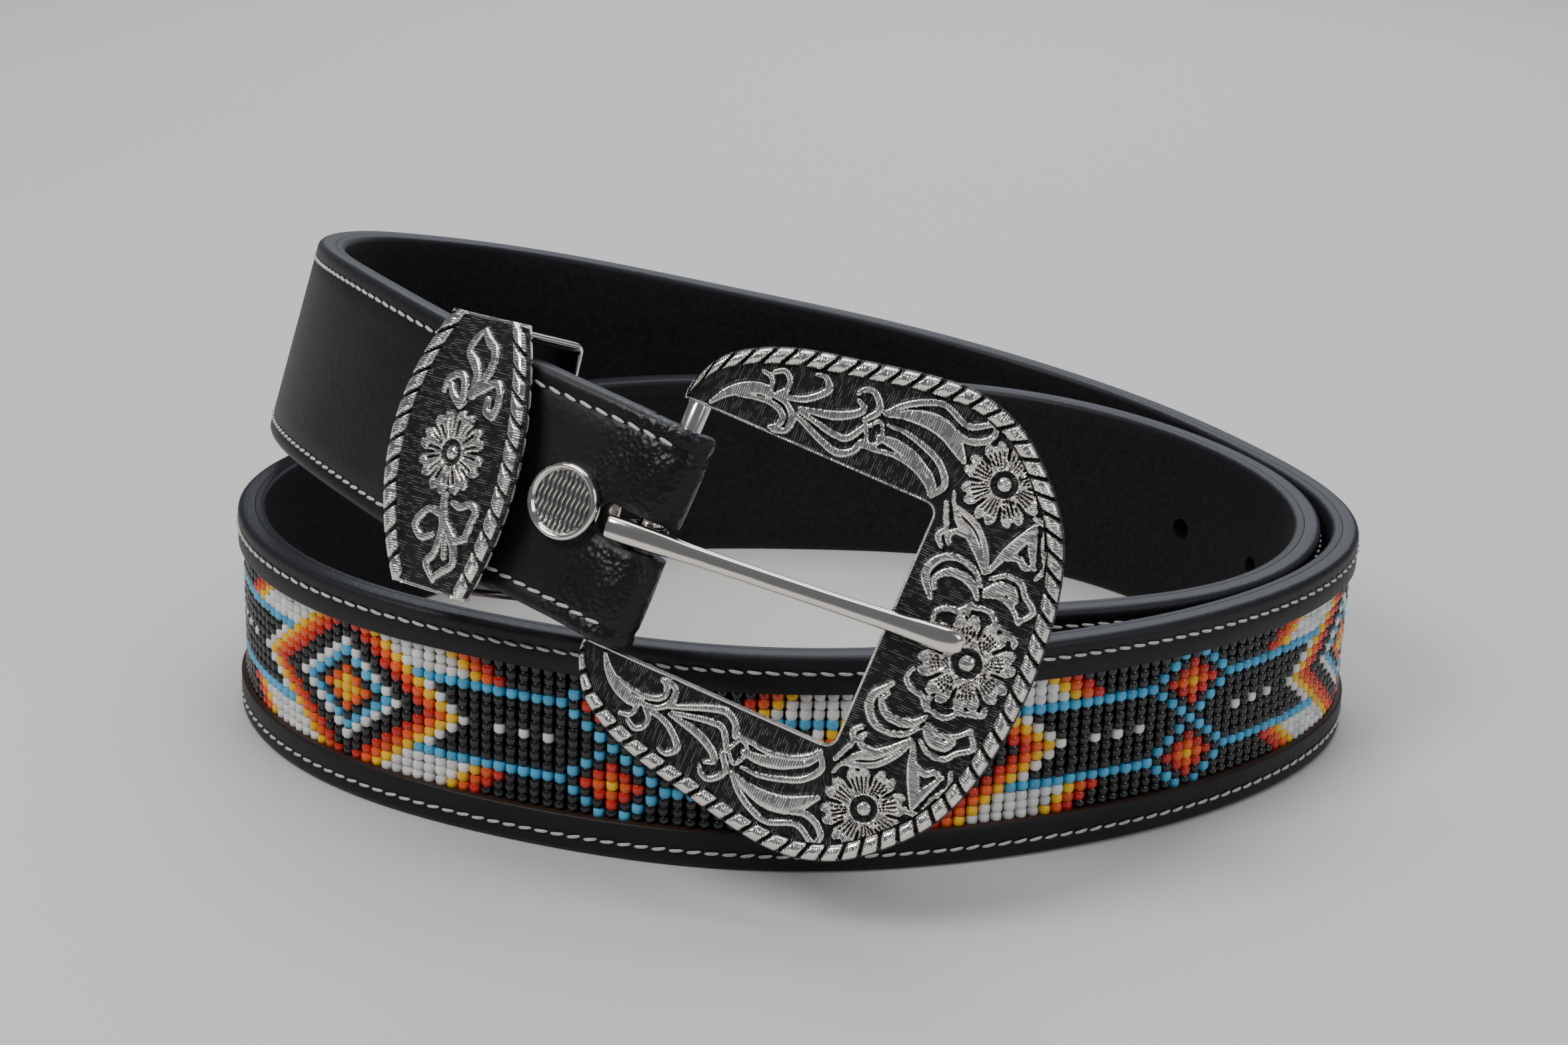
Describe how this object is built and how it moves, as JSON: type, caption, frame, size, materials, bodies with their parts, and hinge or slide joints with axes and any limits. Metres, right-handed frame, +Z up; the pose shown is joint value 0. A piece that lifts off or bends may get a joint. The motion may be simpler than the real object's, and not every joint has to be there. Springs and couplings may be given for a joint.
{
  "type": "beaded belt",
  "caption": "Leather belt with a woven seed bead band, cast scroll buckle, prong and keeper, lying coiled on its edge.",
  "frame": {"origin": "middle of the coiled belt's footprint, on the surface that its lower edges stand on", "axes": "+Z up; -Y towards the buckle's front; +X to the right as seen from the front"},
  "size_m": [0.2056, 0.2034, 0.0891],
  "materials": {
    "black_leather": "matte black with burnished edges",
    "lining_leather": "dark, flat and finely napped",
    "glass_beads": "opaque glossy glass in blue, white, yellow, orange, red and black",
    "antiqued_metal": "cast, polished on the raised parts and blackened in the ground",
    "polished_metal": "polished silver colour"
  },
  "bodies": {
    "strap": {"strap_base": "lining_leather", "strap_face": "black_leather", "bead_band": "glass_beads", "snap_cap": "polished_metal", "snap_back": "polished_metal", "keeper": "antiqued_metal"},
    "frame": {"buckle_frame": "antiqued_metal"},
    "tongue": {"prong": "polished_metal"}
  },
  "joints": [
    {"name": "buckle_swing", "type": "hinge", "parent": "strap", "child": "frame", "pos_m": [-0.02488, -0.08337, 0.05893], "axis": [-0.3497, -0.1749, -0.9204], "range_deg": [-10, 40]},
    {"name": "prong_lift", "type": "hinge", "parent": "frame", "child": "tongue", "pos_m": [-0.02488, -0.08337, 0.05893], "axis": [-0.3497, -0.1749, -0.9204], "range_deg": [0, 75]}
  ]
}
